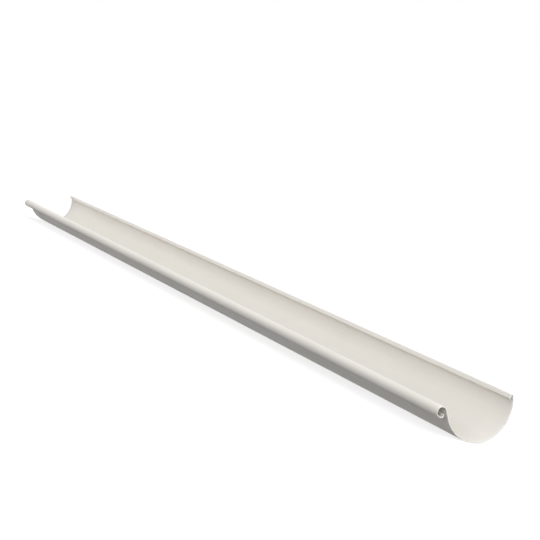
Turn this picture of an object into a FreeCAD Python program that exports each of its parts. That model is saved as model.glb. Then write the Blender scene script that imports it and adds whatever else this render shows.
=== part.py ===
# Half-round rainwater gutter: one straight length of extruded rigid PVC, along X.
#
# The section lies in the YZ plane and is drawn about the centre of its round. The open
# spiral bead that the brackets clip over is on the -Y side, the front, away from the
# house. The lip turned in along the rear edge is on the +Y side, against the house. One
# wall thickness runs all the way, with a wet face inside and a dry face outside, and
# both free edges are fully rounded. The two ends are sawn square.
#
# The piece is stored as it comes to rest on a level floor. It lies on its round, and
# because the bead is heavier than the lip it leans to the front until its centre of
# mass is straight below the centre of the round.
import FreeCAD
import Part
import Sketcher
import math
import os

# Driving dimensions, in millimetres and degrees.
SIZES = [
    ("length", 3000, "end to end"),
    ("wall", 1.9, "thickness of the extruded wall"),
    ("round_bore", 164, "inner diameter of the half-round"),
    ("rear_rise", 12.5, "top of the rear edge above the centre of the round"),
    ("lip_width", 11, "rear lip, from the outside of its bend to its edge"),
    ("lip_drop", 63, "fall of the rear lip below level"),
    ("lip_bend", 1.3, "inner radius of the rear lip's bend"),
    ("front_lean", 13, "front wall's lean outwards from plumb"),
    ("front_wall", 19, "straight part of the front wall"),
    ("bead_diameter", 25.2, "over the bead"),
    ("bead_wrap", 265, "turn of the wall round the bead"),
    ("curl_diameter", 9, "over the tighter curl that ends the bead"),
    ("curl_wrap", 140, "turn of the wall in that curl"),
]

doc = FreeCAD.newDocument("half_round_gutter")

sheet = doc.addObject("Spreadsheet::Sheet", "sizes")
for row, (name, value, meaning) in enumerate(SIZES, start=1):
    sheet.set("A%d" % row, name)
    sheet.set("B%d" % row, str(value))
    sheet.setAlias("B%d" % row, name)
    sheet.set("C%d" % row, meaning)
doc.recompute()

wall = sheet.wall
outer_radius = sheet.round_bore / 2 + wall
bead_radius = sheet.bead_diameter / 2
curl_radius = sheet.curl_diameter / 2


def at_angle(centre, radius, degrees):
    """The point of a circle at an angle counted from +Y towards +Z."""
    angle = math.radians(degrees)
    return centre + FreeCAD.Vector(radius * math.cos(angle), radius * math.sin(angle), 0)


def arc(centre, radius, start, turn):
    """An arc of the section that turns from +Y towards +Z, in degrees."""
    circle = Part.Circle(centre, FreeCAD.Vector(0, 0, 1), radius)
    return Part.ArcOfCircle(circle, math.radians(start), math.radians(start + turn))


# Centres of the four bends. The lip's stands inside the rear wall, the bead's outside the
# front wall, and the curl's on the line from the bead's centre to the place where the
# wall tightens, so that each bend runs on smoothly from the one before.
round_centre = FreeCAD.Vector(0, 0, 0)
lip_turn = 90 + sheet.lip_drop
lip_reach = sheet.lip_bend + wall
lip_centre = FreeCAD.Vector(outer_radius - lip_reach, sheet.rear_rise - lip_reach, 0)
front_foot = at_angle(round_centre, outer_radius - wall, 180 + sheet.front_lean)
front_top = at_angle(front_foot, sheet.front_wall, 90 + sheet.front_lean)
bead_centre = at_angle(front_top, bead_radius, 180 + sheet.front_lean)
curl_start = sheet.front_lean + sheet.bead_wrap
curl_end = curl_start + sheet.curl_wrap
curl_centre = at_angle(bead_centre, bead_radius - curl_radius, curl_start)


def face_geometry(depth):
    """The lines and arcs of one face of the wall, in order from the rear lip's edge.

    depth is how far the face lies inside the dry face: 0, or the wall for the wet face.
    """
    lip = arc(lip_centre, lip_reach - depth, 0, lip_turn)
    trough = arc(round_centre, outer_radius - depth, 180 + sheet.front_lean, 180 - sheet.front_lean)
    bead = arc(bead_centre, bead_radius - wall + depth, sheet.front_lean, sheet.bead_wrap)
    curl = arc(curl_centre, curl_radius - wall + depth, curl_start, sheet.curl_wrap)
    flat_start = at_angle(lip.EndPoint, sheet.lip_width - lip_reach - wall / 2, lip_turn + 90)
    flat = Part.LineSegment(flat_start, lip.EndPoint)
    rear = Part.LineSegment(lip.StartPoint, trough.EndPoint)
    front = Part.LineSegment(trough.StartPoint, bead.StartPoint)
    return [flat, lip, rear, trough, front, bead, curl]


START, END, CENTRE = range(1, 4)
FLAT, LIP, REAR, TROUGH, FRONT, BEAD, CURL = range(7)
BENDS = (LIP, TROUGH, BEAD, CURL)
# Which end of each stretch meets which end of the next, from the lip's edge to the curl.
JOINS = [
    (FLAT, END, LIP, END),
    (LIP, START, REAR, START),
    (REAR, END, TROUGH, END),
    (TROUGH, START, FRONT, START),
    (FRONT, END, BEAD, START),
    (BEAD, END, CURL, START),
]

body = doc.addObject("PartDesign::Body", "gutter")
body.Label = "gutter"
section_plane = [f for f in body.Origin.OriginFeatures if f.Role == "YZ_Plane"][0]
section = body.newObject("Sketcher::SketchObject", "section")
section.AttachmentSupport = [(section_plane, "")]
section.MapMode = "FlatFace"


def join(kind, *places):
    """Adds a constraint that has no size."""
    section.addConstraint(Sketcher.Constraint(kind, *places))


def bind(name, expression, kind, *places):
    """Adds a named constraint whose size, the last of its places, follows the spreadsheet."""
    join(kind, *places)
    section.renameConstraint(section.ConstraintCount - 1, name)
    section.setExpression("Constraints." + name, expression)


dry = section.addGeometry(face_geometry(0), False)
wet = section.addGeometry(face_geometry(wall), False)
# The rounded free edges run from the dry face to the wet one, and from the wet to the dry.
lip_edge_centre = (section.getPoint(dry[FLAT], START) + section.getPoint(wet[FLAT], START)) / 2
curl_edge_centre = (section.getPoint(dry[CURL], END) + section.getPoint(wet[CURL], END)) / 2
lip_edge, curl_edge = section.addGeometry([
    arc(lip_edge_centre, wall / 2, lip_turn, 180),
    arc(curl_edge_centre, wall / 2, curl_end, 180),
], False)

for face in (dry, wet):
    for one, one_end, other, other_end in JOINS:
        join("Tangent", face[one], one_end, face[other], other_end)
join("Tangent", lip_edge, START, dry[FLAT], START)
join("Tangent", lip_edge, END, wet[FLAT], START)
join("Tangent", curl_edge, START, wet[CURL], END)
join("Tangent", curl_edge, END, dry[CURL], END)
for bend in BENDS:
    join("Coincident", dry[bend], CENTRE, wet[bend], CENTRE)
join("Coincident", dry[TROUGH], CENTRE, -1, 1)
join("Vertical", wet[REAR])
join("Parallel", dry[FLAT], wet[FLAT])

# The curl's dry radius follows from its wet one, because both faces of the bead run into it.
bind("lip_wet", "sizes.lip_bend", "Radius", wet[LIP], sheet.lip_bend)
bind("lip_dry", "sizes.lip_bend + sizes.wall", "Radius", dry[LIP], lip_reach)
bind("trough_wet", "sizes.round_bore / 2", "Radius", wet[TROUGH], outer_radius - wall)
bind("trough_dry", "sizes.round_bore / 2 + sizes.wall", "Radius", dry[TROUGH], outer_radius)
bind("bead_wet", "sizes.bead_diameter / 2", "Radius", wet[BEAD], bead_radius)
bind("bead_dry", "sizes.bead_diameter / 2 - sizes.wall", "Radius", dry[BEAD], bead_radius - wall)
bind("curl_wet", "sizes.curl_diameter / 2", "Radius", wet[CURL], curl_radius)
bind("lip_turn", "90 + sizes.lip_drop", "Angle", wet[LIP], math.radians(lip_turn))
bind("bead_turn", "sizes.bead_wrap", "Angle", wet[BEAD], math.radians(sheet.bead_wrap))
bind("curl_turn", "sizes.curl_wrap", "Angle", wet[CURL], math.radians(sheet.curl_wrap))
bind("front_lean", "90 + sizes.front_lean", "Angle", wet[FRONT], math.radians(90 + sheet.front_lean))
bind("front_wall", "sizes.front_wall", "Distance", wet[FRONT], sheet.front_wall)
bind("lip_flat", "sizes.lip_width - sizes.lip_bend - sizes.wall * 1.5", "Distance", wet[FLAT],
     sheet.lip_width - lip_reach - wall / 2)
bind("rear_rise", "sizes.rear_rise - sizes.lip_bend - sizes.wall", "DistanceY",
     -1, 1, wet[LIP], CENTRE, lip_centre.y)

run = body.newObject("PartDesign::Pad", "run")
run.Profile = section
run.SideType = "Symmetric"
run.setExpression("Length", "sizes.length")
doc.recompute()

# At rest the centre of mass hangs straight below the centre of the round, which is one
# outer radius above the floor. The origin is the middle of the footprint.
mass_centre = body.Shape.CenterOfMass
rest_lean = math.degrees(math.atan2(-mass_centre.y, -mass_centre.z))
at_rest = FreeCAD.Rotation(FreeCAD.Vector(1, 0, 0), rest_lean)
body.Placement = FreeCAD.Placement(FreeCAD.Vector(0, 0, outer_radius), at_rest)
footprint = body.Shape.BoundBox
body.Placement = FreeCAD.Placement(FreeCAD.Vector(0, -footprint.Center.y, outer_radius), at_rest)
doc.recompute()

failed = [o.Label for o in doc.Objects if "Invalid" in o.State or "Error" in o.State]
if failed:
    raise RuntimeError("failed to build: " + ", ".join(failed))
if body.Shape.isNull() or not body.Shape.isValid() or len(body.Shape.Solids) != 1:
    raise RuntimeError("the gutter is not one valid solid")

os.makedirs("parts", exist_ok=True)
body.Shape.exportStep("parts/gutter.step")
box = body.Shape.BoundBox
print("rest lean %.3f deg, section fully constrained: %s" % (rest_lean, section.FullyConstrained))
print("box %.1f x %.2f x %.2f mm" % (box.XLength, box.YLength, box.ZLength))
print("volume %.0f mm3" % body.Shape.Volume)
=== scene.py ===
import bpy
import numpy as np
from mathutils import Matrix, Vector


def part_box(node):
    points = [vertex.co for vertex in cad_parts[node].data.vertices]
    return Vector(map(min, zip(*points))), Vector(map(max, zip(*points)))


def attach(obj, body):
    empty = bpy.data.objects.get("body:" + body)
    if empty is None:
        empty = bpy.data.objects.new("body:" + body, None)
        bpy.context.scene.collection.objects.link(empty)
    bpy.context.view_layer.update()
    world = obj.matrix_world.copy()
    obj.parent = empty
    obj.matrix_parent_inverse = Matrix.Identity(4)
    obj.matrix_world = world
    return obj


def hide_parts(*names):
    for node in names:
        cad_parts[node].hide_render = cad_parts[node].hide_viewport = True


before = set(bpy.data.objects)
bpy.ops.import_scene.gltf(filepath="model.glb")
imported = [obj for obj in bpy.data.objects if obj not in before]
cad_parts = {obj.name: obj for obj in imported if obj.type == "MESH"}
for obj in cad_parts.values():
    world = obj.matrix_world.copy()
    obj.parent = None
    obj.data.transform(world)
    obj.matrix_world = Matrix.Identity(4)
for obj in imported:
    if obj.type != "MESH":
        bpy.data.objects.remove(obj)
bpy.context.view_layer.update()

scene = bpy.context.scene

# ---- The wall of the gutter ----
# One length of half-round gutter, extruded in rigid PVC and sized while it cools, so the same
# thin strip runs from end to end. From the rear it is a lip turned inwards, a plumb wall, the
# round, a front wall that leans out, and a bead that rolls outwards and ends in a tight curl.

LENGTH = 3.0
WALL = 0.0019
ROUND_BORE = 0.164
REAR_RISE = 0.0125
LIP_WIDTH = 0.011
LIP_DROP = 63.0
LIP_BEND = 0.0013
FRONT_LEAN = 13.0
FRONT_WALL = 0.019
BEAD_DIAMETER = 0.0252
BEAD_WRAP = 265.0
CURL_DIAMETER = 0.009
CURL_WRAP = 140.0
SAW_ARRIS = 0.00015

ROUND_RADIUS = (ROUND_BORE + WALL) / 2

# Steps round half of a free edge, points round a saw cut's arris, and stations in between.
EDGE_STEPS = 12
ARRIS_POINTS = 4
STATIONS = 41

# The middle line of the wall, from the free edge of the lip to the end of the curl: for each
# stretch its radius (None where it runs straight), its run or its turn to the left, its steps.
# The lip's width and the rear rise are taken over the outside of the bend between them.
STRETCHES = [
    (None, LIP_WIDTH - LIP_BEND - 1.5 * WALL, 6),
    (LIP_BEND + WALL / 2, -(90 + LIP_DROP), 24),
    (None, REAR_RISE - LIP_BEND - WALL, 6),
    (ROUND_RADIUS, -(180 - FRONT_LEAN), 168),
    (None, FRONT_WALL, 8),
    ((BEAD_DIAMETER - WALL) / 2, BEAD_WRAP, 110),
    ((CURL_DIAMETER - WALL) / 2, CURL_WRAP, 48),
]
ROUND_START = sum(steps for radius, amount, steps in STRETCHES[:3])


def wall_middle():
    """The points of the wall's middle line, across and up as one complex number, and headings.

    The heading is the first heading plus the turns so far. The point is the sum of the chords
    so far. A chord spans a little arc: its length is 2 r sin(half the turn), or the plain run
    where the wall is straight, and it points halfway between the headings at its two ends.
    All points then move together, so that the centre of the round is at zero.
    """
    turn = np.concatenate([np.full(n, 0.0 if r is None else np.radians(a) / n)
                           for r, a, n in STRETCHES])
    chord = np.concatenate([np.full(n, a / n if r is None else
                                    2 * r * np.sin(abs(np.radians(a)) / n / 2))
                            for r, a, n in STRETCHES])
    heading = np.radians(LIP_DROP) + np.append(0.0, np.cumsum(turn))
    point = np.append(0.0, np.cumsum(chord * np.exp(1j * (heading[:-1] + turn / 2))))
    return point - point[ROUND_START] + ROUND_RADIUS, heading


middle, heading = wall_middle()

# The strip comes to rest with its centre of mass straight below the centre of the round, so
# the heavier bead pulls it over to the front. Each point carries half of the runs beside it.
runs = np.abs(np.diff(middle))
share = np.append(runs, 0.0) + np.append(0.0, runs)
mass_centre = (middle * share).sum() / share.sum()
rest_lean = np.arctan2(-mass_centre.real, -mass_centre.imag)


def wall_outline(half_wall):
    """The closed outline of the strip for half a wall, starting behind the lip's free edge.

    A point is the middle line plus half the wall along a swinging hand: the hand points back
    at the lip's edge, swings to the left of the heading (the dry face), stays there up to the
    curl, swings ahead round the curl's edge, and comes back on the right (the wet face).
    """
    swing = np.linspace(0, np.pi / 2, EDGE_STEPS, endpoint=False)
    last = len(middle) - 1
    place = np.concatenate([np.zeros(EDGE_STEPS, int), np.arange(last + 1),
                            np.full(EDGE_STEPS, last)])
    hand = np.concatenate([np.pi - swing, np.full(last + 1, np.pi / 2), swing[::-1]])
    place = np.concatenate([place, place[-2:0:-1]])
    hand = np.concatenate([hand, -hand[-2:0:-1]])
    return middle[place] + half_wall * np.exp(1j * (heading[place] + hand))


# The centre of the round, across and up: the resting outline stands in the middle of its box
# and the round touches the floor.
resting = wall_outline(WALL / 2) * np.exp(1j * rest_lean)
low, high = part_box("gutter")
round_across = (low[1] + high[1] - resting.real.min() - resting.real.max()) / 2
round_up = ROUND_RADIUS + WALL / 2


def gutter_mesh(name):
    """The wall carried along its length, closed by a flat face at each sawn end.

    Point (i, j) is station i along the length and point j of the outline, turned by the rest
    lean about the round. At the ends the outline shrinks by r - r cos(a) while the station
    moves out by r sin(a), which breaks the edge to a radius r.
    """
    arris = np.linspace(0, np.pi / 2, ARRIS_POINTS)
    grow = LENGTH / 2 - SAW_ARRIS + SAW_ARRIS * np.sin(arris)
    shrink = SAW_ARRIS * (1 - np.cos(arris))
    plain = np.linspace(-grow[0], grow[0], STATIONS)
    stations = np.concatenate([-grow[:0:-1], plain, grow[1:]])
    shrinks = np.concatenate([shrink[:0:-1], np.zeros(len(plain)), shrink[1:]])
    section = np.array([wall_outline(WALL / 2 - s) for s in shrinks])
    section = section * np.exp(1j * rest_lean)
    rings, count = section.shape
    along = np.broadcast_to(stations[:, None], section.shape)
    grid = np.stack([along, section.real + round_across, section.imag + round_up], axis=-1)

    ring, place = np.meshgrid(np.arange(rings - 1), np.arange(count), indexing="ij")
    beside = (place + 1) % count
    skin = np.stack([ring * count + place, (ring + 1) * count + place,
                     (ring + 1) * count + beside, ring * count + beside], axis=-1).reshape(-1, 4)
    one = np.arange(1, count // 2 - 1)
    cut = np.stack([one, one + 1, count - one - 1, count - one], axis=-1)
    tips = np.array([[0, 1, count - 1], [count // 2 - 1, count // 2, count // 2 + 1]])
    far = (rings - 1) * count
    faces = (skin.tolist() + cut.tolist() + tips.tolist()
             + (cut[:, ::-1] + far).tolist() + (tips[:, ::-1] + far).tolist())

    mesh = bpy.data.meshes.new(name)
    mesh.from_pydata(grid.reshape(-1, 3).tolist(), [], faces)
    sawn = np.zeros(len(faces), int)
    sawn[len(skin):] = 1
    mesh.polygons.foreach_set("material_index", sawn)
    mesh.polygons.foreach_set("use_smooth", sawn == 0)
    mesh.update()
    return mesh


gutter = bpy.data.objects.new("gutter_wall", gutter_mesh("gutter_wall"))
scene.collection.objects.link(gutter)


def grain_group():
    """Rigid PVC's own unevenness: a slow drift of tint, and fine specks of filler.

    The tint's value is multiplied by 1 + drift x a cloud that runs from -1 to 1.
    """
    group = bpy.data.node_groups.new("pvc_grain", "ShaderNodeTree")
    group.interface.new_socket("Tint", in_out="INPUT", socket_type="NodeSocketColor")
    group.interface.new_socket("Drift", in_out="INPUT", socket_type="NodeSocketFloat")
    group.interface.new_socket("Speck Fineness", in_out="INPUT", socket_type="NodeSocketFloat")
    group.interface.new_socket("Tint", in_out="OUTPUT", socket_type="NodeSocketColor")
    group.interface.new_socket("Specks", in_out="OUTPUT", socket_type="NodeSocketFloat")
    node, link = group.nodes.new, group.links.new
    into, out = node("NodeGroupInput"), node("NodeGroupOutput")
    place = node("ShaderNodeTexCoord")
    cloud = node("ShaderNodeTexNoise")
    cloud.inputs["Scale"].default_value = 5.5
    cloud.inputs["Detail"].default_value = 3.0
    link(place.outputs["Object"], cloud.inputs["Vector"])
    speck = node("ShaderNodeTexNoise")
    speck.inputs["Detail"].default_value = 2.0
    link(place.outputs["Object"], speck.inputs["Vector"])
    link(into.outputs["Speck Fineness"], speck.inputs["Scale"])
    spread = node("ShaderNodeMapRange")
    spread.inputs["From Min"].default_value = 0.35
    spread.inputs["From Max"].default_value = 0.65
    spread.inputs["To Min"].default_value = -1.0
    link(cloud.outputs["Fac"], spread.inputs["Value"])
    swing = node("ShaderNodeMath")
    swing.operation = "MULTIPLY_ADD"
    swing.inputs[2].default_value = 1.0
    link(spread.outputs["Result"], swing.inputs[0])
    link(into.outputs["Drift"], swing.inputs[1])
    shade = node("ShaderNodeHueSaturation")
    link(into.outputs["Tint"], shade.inputs["Color"])
    link(swing.outputs[0], shade.inputs["Value"])
    link(shade.outputs["Color"], out.inputs["Tint"])
    link(speck.outputs["Fac"], out.inputs["Specks"])
    return group


pvc_grain = grain_group()
PVC = (0.70, 0.672, 0.625, 1.0)
RUBBED_PVC = (0.86, 0.85, 0.83, 1.0)
PVC_IOR = 1.53
RUB_SHARE = 0.16
DIE_LINE_SHARE = 0.18
HANDLED_END = 0.006
SKIN_SMOOTHEST = 0.35
DIE_LINE_ROUGHNESS = 0.30
RUB_ROUGHNESS = 0.30


def skin_material():
    """The skin as it leaves the die: satin, with long faint lines and a fine orange peel."""
    material = bpy.data.materials.new("rigid_pvc_skin")
    material.use_nodes = True
    node, link = material.node_tree.nodes.new, material.node_tree.links.new
    skin = material.node_tree.nodes["Principled BSDF"]
    skin.inputs["IOR"].default_value = PVC_IOR
    place = node("ShaderNodeTexCoord")
    grain = node("ShaderNodeGroup")
    grain.node_tree = pvc_grain
    grain.inputs["Tint"].default_value = PVC
    grain.inputs["Drift"].default_value = 0.012
    grain.inputs["Speck Fineness"].default_value = 1400.0

    # Die lines run the whole length, a millimetre or two apart round the section.
    draw = node("ShaderNodeMapping")
    draw.inputs["Scale"].default_value = (1.2, 620.0, 620.0)
    link(place.outputs["Object"], draw.inputs["Vector"])
    lines = node("ShaderNodeTexNoise")
    lines.inputs["Scale"].default_value = 1.0
    lines.inputs["Detail"].default_value = 3.0
    lines.inputs["Roughness"].default_value = 0.6
    link(draw.outputs["Vector"], lines.inputs["Vector"])

    # Rubbed streaks from stacking and sliding: longer than wide, thin and broken.
    slide = node("ShaderNodeMapping")
    slide.inputs["Scale"].default_value = (9.0, 70.0, 70.0)
    link(place.outputs["Object"], slide.inputs["Vector"])
    rubs = node("ShaderNodeTexNoise")
    rubs.inputs["Scale"].default_value = 1.0
    rubs.inputs["Detail"].default_value = 5.0
    rubs.inputs["Roughness"].default_value = 0.7
    link(slide.outputs["Vector"], rubs.inputs["Vector"])
    rubbed = node("ShaderNodeMapRange")
    rubbed.inputs["From Min"].default_value = 0.56
    rubbed.inputs["From Max"].default_value = 0.74
    link(rubs.outputs["Fac"], rubbed.inputs["Value"])

    # Handling dulls and whitens the last few millimetres before a cut.
    split = node("ShaderNodeSeparateXYZ")
    link(place.outputs["Object"], split.inputs["Vector"])
    reach = node("ShaderNodeMath")
    reach.operation = "ABSOLUTE"
    link(split.outputs["X"], reach.inputs[0])
    near_cut = node("ShaderNodeMapRange")
    near_cut.inputs["From Min"].default_value = LENGTH / 2 - HANDLED_END
    near_cut.inputs["From Max"].default_value = LENGTH / 2
    near_cut.interpolation_type = "SMOOTHSTEP"
    link(reach.outputs[0], near_cut.inputs["Value"])
    patchy = node("ShaderNodeMath")
    patchy.operation = "MULTIPLY"
    link(near_cut.outputs["Result"], patchy.inputs[0])
    link(rubs.outputs["Fac"], patchy.inputs[1])
    worn = node("ShaderNodeMath")
    worn.operation = "MULTIPLY_ADD"
    worn.inputs[1].default_value = RUB_SHARE
    link(rubbed.outputs["Result"], worn.inputs[0])
    link(patchy.outputs[0], worn.inputs[2])

    # The skin is paler where it is rubbed or handled, and a touch paler on the raised die lines.
    dragged = node("ShaderNodeMapRange")
    dragged.inputs["From Min"].default_value = 0.48
    dragged.inputs["From Max"].default_value = 0.72
    dragged.inputs["To Max"].default_value = DIE_LINE_SHARE
    link(lines.outputs["Fac"], dragged.inputs["Value"])
    pale = node("ShaderNodeMath")
    pale.operation = "ADD"
    link(worn.outputs[0], pale.inputs[0])
    link(dragged.outputs["Result"], pale.inputs[1])
    colour = node("ShaderNodeMix")
    colour.data_type = "RGBA"
    colour.inputs["B"].default_value = RUBBED_PVC
    link(pale.outputs[0], colour.inputs["Factor"])
    link(grain.outputs["Tint"], colour.inputs["A"])
    link(colour.outputs["Result"], skin.inputs["Base Color"])

    # It is satin between the die lines, and duller on them and where it is rubbed or handled.
    rough = node("ShaderNodeMath")
    rough.operation = "MULTIPLY_ADD"
    rough.inputs[1].default_value = DIE_LINE_ROUGHNESS
    rough.inputs[2].default_value = SKIN_SMOOTHEST
    link(lines.outputs["Fac"], rough.inputs[0])
    dull = node("ShaderNodeMath")
    dull.operation = "MULTIPLY_ADD"
    dull.inputs[1].default_value = RUB_ROUGHNESS
    link(worn.outputs[0], dull.inputs[0])
    link(rough.outputs[0], dull.inputs[2])
    link(dull.outputs[0], skin.inputs["Roughness"])

    # The orange peel and the die lines stand well under a tenth of a millimetre proud.
    peel = node("ShaderNodeBump")
    peel.inputs["Strength"].default_value = 0.16
    peel.inputs["Distance"].default_value = 0.0001
    link(grain.outputs["Specks"], peel.inputs["Height"])
    drawn = node("ShaderNodeBump")
    drawn.inputs["Strength"].default_value = 0.30
    drawn.inputs["Distance"].default_value = 0.0002
    link(lines.outputs["Fac"], drawn.inputs["Height"])
    link(peel.outputs["Normal"], drawn.inputs["Normal"])
    link(drawn.outputs["Normal"], skin.inputs["Normal"])
    return material


SAWN_PVC = (0.71, 0.69, 0.65, 1.0)
TORN_PVC = (0.80, 0.785, 0.755, 1.0)
SAWN_SMOOTHEST = 0.55
STROKE_ROUGHNESS = 0.2
SAW_SLANT = np.radians(20)


def sawn_material():
    """The sawn ends: paler and matt, crossed by the fine strokes of the saw."""
    material = bpy.data.materials.new("rigid_pvc_sawn")
    material.use_nodes = True
    node, link = material.node_tree.nodes.new, material.node_tree.links.new
    face = material.node_tree.nodes["Principled BSDF"]
    face.inputs["IOR"].default_value = PVC_IOR
    place = node("ShaderNodeTexCoord")
    grain = node("ShaderNodeGroup")
    grain.node_tree = pvc_grain
    grain.inputs["Tint"].default_value = SAWN_PVC
    grain.inputs["Drift"].default_value = 0.03
    grain.inputs["Speck Fineness"].default_value = 2600.0

    # Saw strokes, about a centimetre long and half a millimetre apart, slanted across the cut.
    draw = node("ShaderNodeMapping")
    draw.inputs["Rotation"].default_value = (SAW_SLANT, 0.0, 0.0)
    draw.inputs["Scale"].default_value = (1.0, 70.0, 1700.0)
    link(place.outputs["Object"], draw.inputs["Vector"])
    strokes = node("ShaderNodeTexNoise")
    strokes.inputs["Scale"].default_value = 1.0
    strokes.inputs["Detail"].default_value = 2.0
    link(draw.outputs["Vector"], strokes.inputs["Vector"])

    # They tear the plastic paler and rougher, and leave it a little fuzzy.
    torn = node("ShaderNodeMapRange")
    torn.inputs["From Min"].default_value = 0.35
    torn.inputs["From Max"].default_value = 0.65
    link(strokes.outputs["Fac"], torn.inputs["Value"])
    colour = node("ShaderNodeMix")
    colour.data_type = "RGBA"
    colour.inputs["B"].default_value = TORN_PVC
    link(torn.outputs["Result"], colour.inputs["Factor"])
    link(grain.outputs["Tint"], colour.inputs["A"])
    link(colour.outputs["Result"], face.inputs["Base Color"])
    rough = node("ShaderNodeMath")
    rough.operation = "MULTIPLY_ADD"
    rough.inputs[1].default_value = STROKE_ROUGHNESS
    rough.inputs[2].default_value = SAWN_SMOOTHEST
    link(strokes.outputs["Fac"], rough.inputs[0])
    link(rough.outputs[0], face.inputs["Roughness"])
    fuzz = node("ShaderNodeBump")
    fuzz.inputs["Strength"].default_value = 0.4
    fuzz.inputs["Distance"].default_value = 0.0001
    link(grain.outputs["Specks"], fuzz.inputs["Height"])
    sawn = node("ShaderNodeBump")
    sawn.inputs["Strength"].default_value = 0.5
    sawn.inputs["Distance"].default_value = 0.00015
    link(strokes.outputs["Fac"], sawn.inputs["Height"])
    link(fuzz.outputs["Normal"], sawn.inputs["Normal"])
    link(sawn.outputs["Normal"], face.inputs["Normal"])
    return material


gutter.data.materials.append(skin_material())
gutter.data.materials.append(sawn_material())
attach(gutter, "root")
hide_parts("gutter")

# ---- The floor ----
# A plain pale studio floor, level under the gutter. To the eye, and in a shine, it is white
# but for the gutter's soft shadow. Otherwise it gives a dim light, the same from every part.

FLOOR_REACH = 60.0

# What it shows: a tone that takes the shadow, and the white on top of it. What it gives: a
# dim light.
FLOOR_TONE = 0.28
FLOOR_WHITE = 0.78
FLOOR_DIM = 0.13

floor_mesh = bpy.data.meshes.new("floor")
corners = [(-1, -1), (1, -1), (1, 1), (-1, 1)]
floor_mesh.from_pydata([(x * FLOOR_REACH, y * FLOOR_REACH, 0.0) for x, y in corners],
                       [], [(0, 1, 2, 3)])
floor = bpy.data.objects.new("floor", floor_mesh)
scene.collection.objects.link(floor)


def direct_look(node, link):
    """1 on a ray that shows the studio itself, else 0.

    It is the greatest of three marks: straight to the eye, in a shine, or through glass.
    """
    ray = node("ShaderNodeLightPath")
    seen = ray.outputs["Is Camera Ray"]
    for kind in ("Is Glossy Ray", "Is Transmission Ray"):
        either = node("ShaderNodeMath")
        either.operation = "MAXIMUM"
        link(seen, either.inputs[0])
        link(ray.outputs[kind], either.inputs[1])
        seen = either.outputs[0]
    return seen


pale = bpy.data.materials.new("pale_floor")
pale.use_nodes = True
pale.node_tree.nodes.clear()
node, link = pale.node_tree.nodes.new, pale.node_tree.links.new
matt = node("ShaderNodeBsdfDiffuse")
glow = node("ShaderNodeEmission")
seen = direct_look(node, link)
tone = node("ShaderNodeMix")
tone.data_type = "RGBA"
tone.inputs["A"].default_value = (0.0, 0.0, 0.0, 1.0)
tone.inputs["B"].default_value = (FLOOR_TONE, FLOOR_TONE, FLOOR_TONE, 1.0)
link(seen, tone.inputs["Factor"])
link(tone.outputs["Result"], matt.inputs["Color"])
lift = node("ShaderNodeMath")
lift.operation = "MULTIPLY_ADD"
lift.inputs[1].default_value = FLOOR_WHITE - FLOOR_DIM
lift.inputs[2].default_value = FLOOR_DIM
link(seen, lift.inputs[0])
link(lift.outputs[0], glow.inputs["Strength"])
both = node("ShaderNodeAddShader")
link(matt.outputs[0], both.inputs[0])
link(glow.outputs[0], both.inputs[1])
link(both.outputs[0], node("ShaderNodeOutputMaterial").inputs["Surface"])
floor_mesh.materials.append(pale)

# ---- The light ----
# A studio lit by two broad pools of light that fade into each other: one behind the gutter
# and a stronger one in front of its near end. To the eye, and in a shine, the background is
# plain white, and that white lights nothing else.

# Each pool: the direction of its middle, and how bright it is there.
REAR_POOL = ((0.0, 1.0, 0.0), 1.74)
NEAR_POOL = ((0.7071, -0.7071, 0.0), 2.28)

world = bpy.data.worlds.new("studio")
scene.world = world
world.use_nodes = True
world.node_tree.nodes.clear()
node, link = world.node_tree.nodes.new, world.node_tree.links.new
way = node("ShaderNodeTexCoord")


def light_pool(middle_way, brightness):
    """Brightness times the square of (1 + cosine of the angle from the pool's middle) / 2."""
    cosine = node("ShaderNodeVectorMath")
    cosine.operation = "DOT_PRODUCT"
    cosine.inputs[1].default_value = middle_way
    link(way.outputs["Generated"], cosine.inputs[0])
    fade = node("ShaderNodeMapRange")
    fade.inputs["From Min"].default_value = -1.0
    fade.inputs["From Max"].default_value = 1.0
    fade.inputs["To Max"].default_value = np.sqrt(brightness)
    link(cosine.outputs["Value"], fade.inputs["Value"])
    pool = node("ShaderNodeMath")
    pool.operation = "MULTIPLY"
    link(fade.outputs["Result"], pool.inputs[0])
    link(fade.outputs["Result"], pool.inputs[1])
    return pool.outputs[0]


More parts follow.
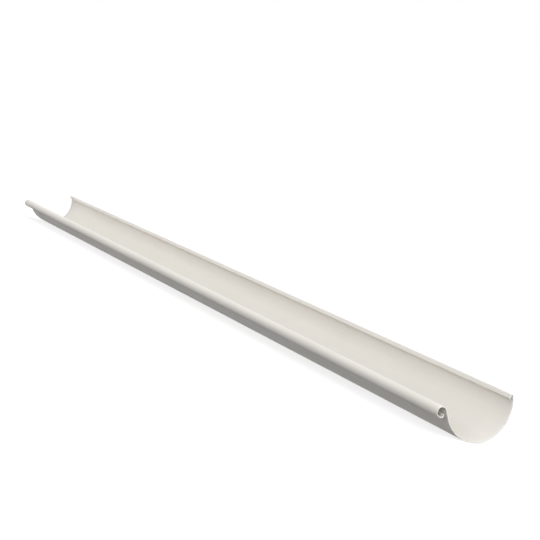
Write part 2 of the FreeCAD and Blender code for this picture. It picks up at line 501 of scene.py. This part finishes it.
pools = node("ShaderNodeMath")
pools.operation = "ADD"
link(light_pool(*REAR_POOL), pools.inputs[0])
link(light_pool(*NEAR_POOL), pools.inputs[1])
sky = node("ShaderNodeBackground")
sky.inputs["Color"].default_value = (1.0, 1.0, 1.0, 1.0)
link(pools.outputs[0], sky.inputs["Strength"])
white = node("ShaderNodeBackground")
white.inputs["Color"].default_value = (1.0, 1.0, 1.0, 1.0)
pick = node("ShaderNodeMixShader")
link(direct_look(node, link), pick.inputs["Fac"])
link(sky.outputs[0], pick.inputs[1])
link(white.outputs[0], pick.inputs[2])
link(pick.outputs[0], node("ShaderNodeOutputWorld").inputs["Surface"])

# ---- The camera ----
# It is placed beside the near end as the gutter hangs, with its mouth level: so far along,
# in front of and above the middle of the round. The rest lean then turns it with the gutter.

STAND_OFF = np.array([2.4846, -1.6977, 0.9249])
LOOK_IN = np.radians(25.794)
LOOK_DOWN = np.radians(11.984)
LENS = 97.43
SENSOR = 36.0
FARTHEST_SEEN = 200.0


def standing(place, look, overhead):
    """The matrix of a camera at a place that looks along look, with overhead kept upright.

    Its right is look x overhead at length 1, its up is right x look, and its back is -look.
    """
    right = np.cross(look, overhead)
    right = right / np.linalg.norm(right)
    turn = np.column_stack([right, np.cross(right, look), -look, place])
    return Matrix(turn.tolist() + [[0, 0, 0, 1]])


lean = np.array([[1, 0, 0],
                 [0, np.cos(rest_lean), -np.sin(rest_lean)],
                 [0, np.sin(rest_lean), np.cos(rest_lean)]])
round_middle = np.array([LENGTH / 2, round_across, round_up])
look = np.array([-np.cos(LOOK_IN) * np.cos(LOOK_DOWN),
                 np.sin(LOOK_IN) * np.cos(LOOK_DOWN),
                 -np.sin(LOOK_DOWN)])
overhead = np.array([0.0, 0.0, 1.0])
camera_data = bpy.data.cameras.new("camera")
camera_data.lens = LENS
camera_data.sensor_width = SENSOR
camera_data.clip_end = FARTHEST_SEEN
camera = bpy.data.objects.new("camera", camera_data)
camera.matrix_world = standing(round_middle + lean @ STAND_OFF, lean @ look, lean @ overhead)
scene.collection.objects.link(camera)
scene.camera = camera

scene.view_settings.view_transform = "Standard"
